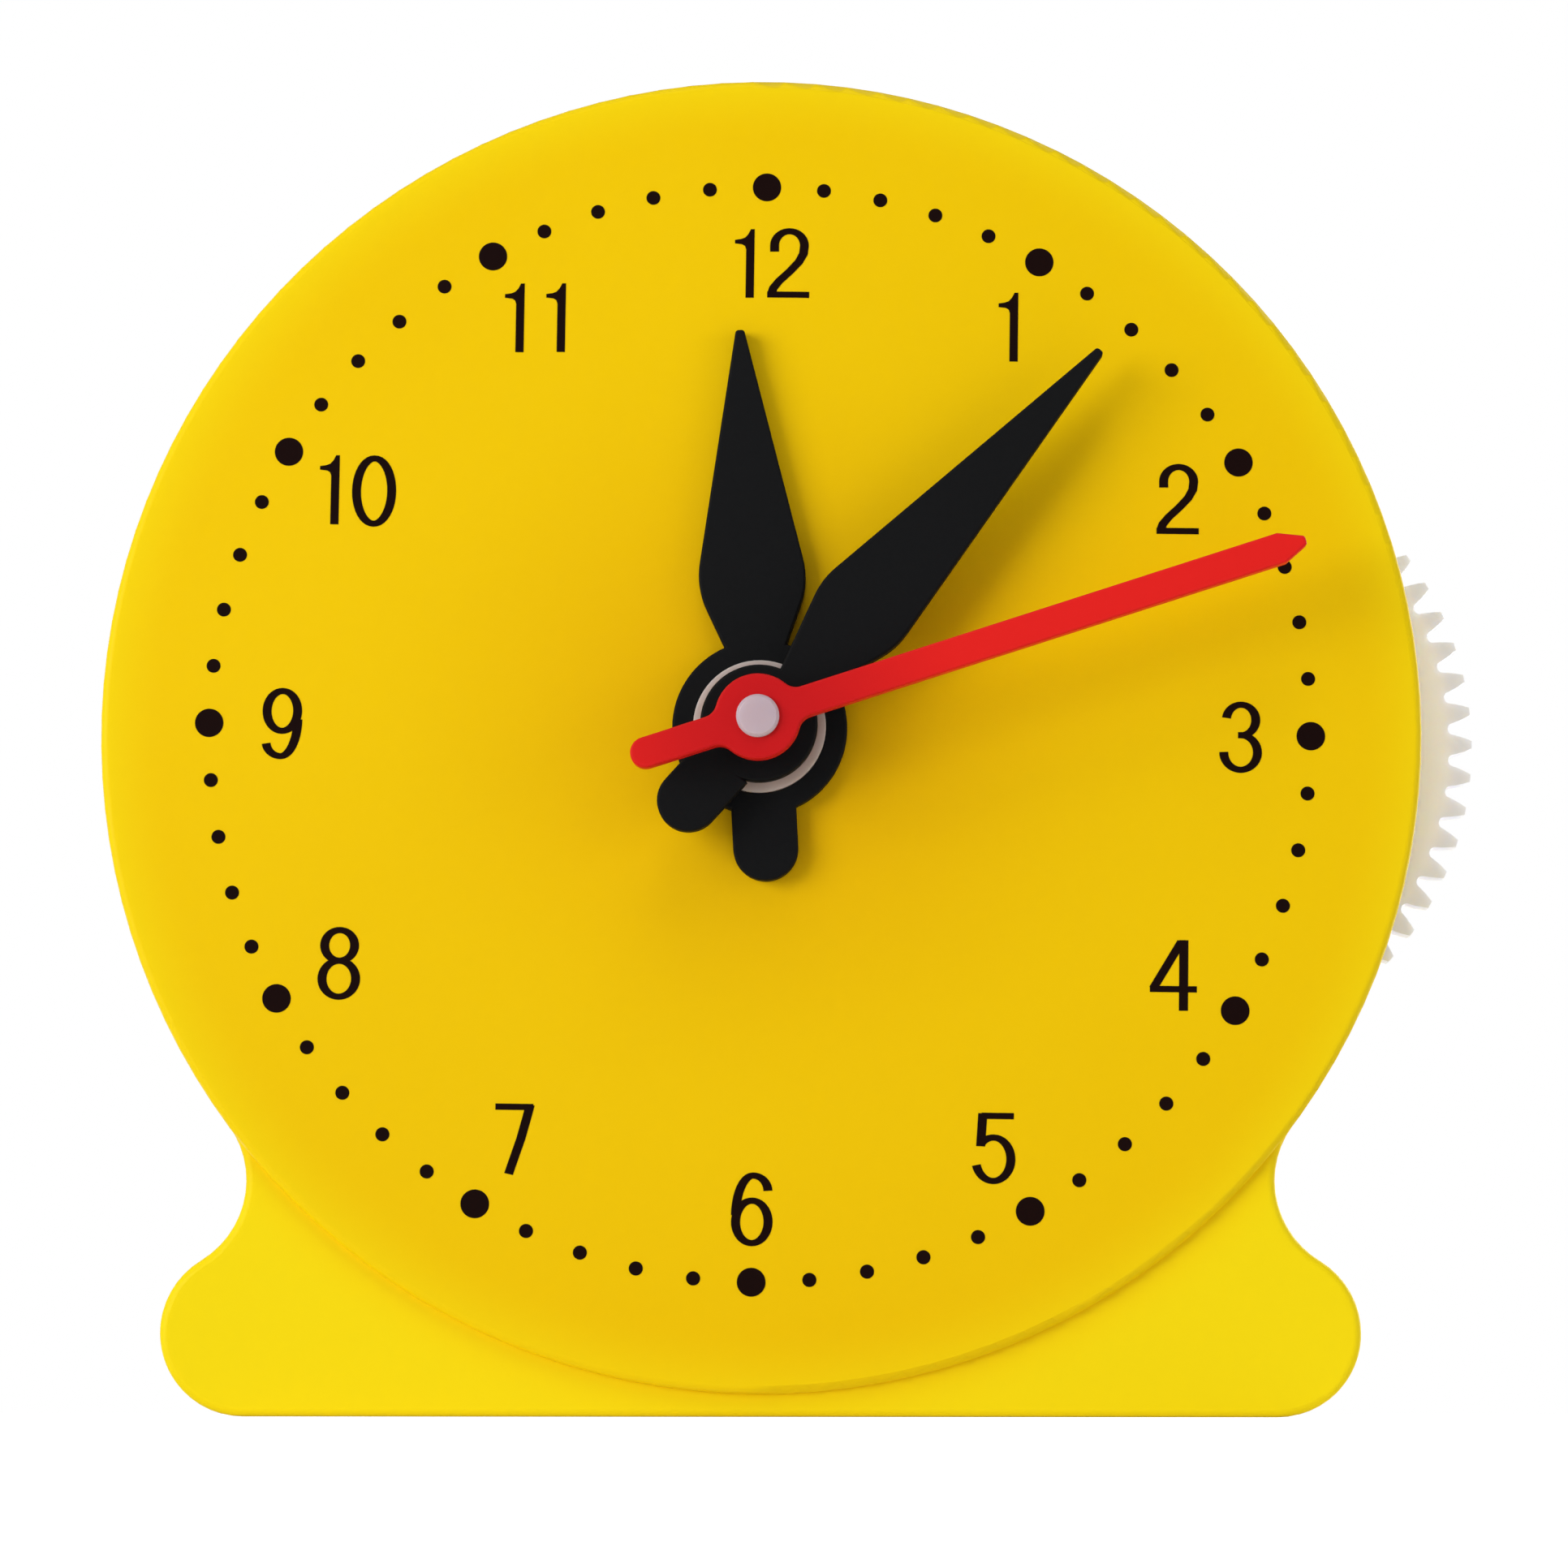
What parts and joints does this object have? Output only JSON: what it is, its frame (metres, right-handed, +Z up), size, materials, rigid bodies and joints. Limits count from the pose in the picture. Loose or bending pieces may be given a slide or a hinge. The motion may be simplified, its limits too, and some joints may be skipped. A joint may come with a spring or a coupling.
{
  "type": "geared teaching clock",
  "caption": "Round dial on a wide foot with linked hour, minute and second hands turned by a toothed thumb wheel at the side.",
  "frame": {"origin": "middle of the flat face that the foot stands on, halfway between the dial's face and the back", "axes": "+Z up, -Y the way the dial faces, +X to the right as the dial is read"},
  "size_m": [0.1048, 0.0329, 0.1017],
  "materials": {
    "yellow_abs": "moulded yellow plastic with a soft sheen",
    "black_plastic": "moulded black plastic, matt",
    "red_plastic": "moulded red plastic, satin",
    "white_plastic": "natural white acetal plastic, slightly translucent",
    "steel": "ground steel pin and spring",
    "zinc_screw": "zinc plated screw"
  },
  "bodies": {
    "case": {"front_shell": "yellow_abs", "back_cover": "yellow_abs", "cover_screws": "zinc_screw", "thumb_axle": "steel", "third_axle": "steel", "friction_spring": "steel"},
    "thumb": {"thumb_wheel": "white_plastic"},
    "hour": {"hour_wheel": "white_plastic", "hour_hand": "black_plastic"},
    "minute": {"minute_arbor": "white_plastic", "minute_wheel": "white_plastic", "minute_hand": "black_plastic"},
    "third": {"third_wheel": "white_plastic"},
    "second": {"second_arbor": "white_plastic", "second_hand": "red_plastic"}
  },
  "joints": [
    {"name": "minute_turn", "type": "hinge", "parent": "case", "child": "minute", "pos_m": [0, 0, 0.0517], "axis": [0, 1, 0], "continuous": true},
    {"name": "thumb_turn", "type": "hinge", "parent": "case", "child": "thumb", "pos_m": [0.03, 0, 0.0517], "axis": [0, 1, 0], "continuous": true},
    {"name": "hour_turn", "type": "hinge", "parent": "case", "child": "hour", "pos_m": [0, 0, 0.0517], "axis": [0, 1, 0], "continuous": true},
    {"name": "third_turn", "type": "hinge", "parent": "case", "child": "third", "pos_m": [-0.0231, 0, 0.0517], "axis": [0, 1, 0], "continuous": true},
    {"name": "second_turn", "type": "hinge", "parent": "case", "child": "second", "pos_m": [0, 0, 0.0517], "axis": [0, 1, 0], "continuous": true}
  ],
  "couplings": [
    {"joint": "thumb_turn", "follows": "minute_turn", "ratio": -0.25},
    {"joint": "hour_turn", "follows": "minute_turn", "ratio": 0.083333},
    {"joint": "third_turn", "follows": "minute_turn", "ratio": -10},
    {"joint": "second_turn", "follows": "minute_turn", "ratio": 60}
  ]
}
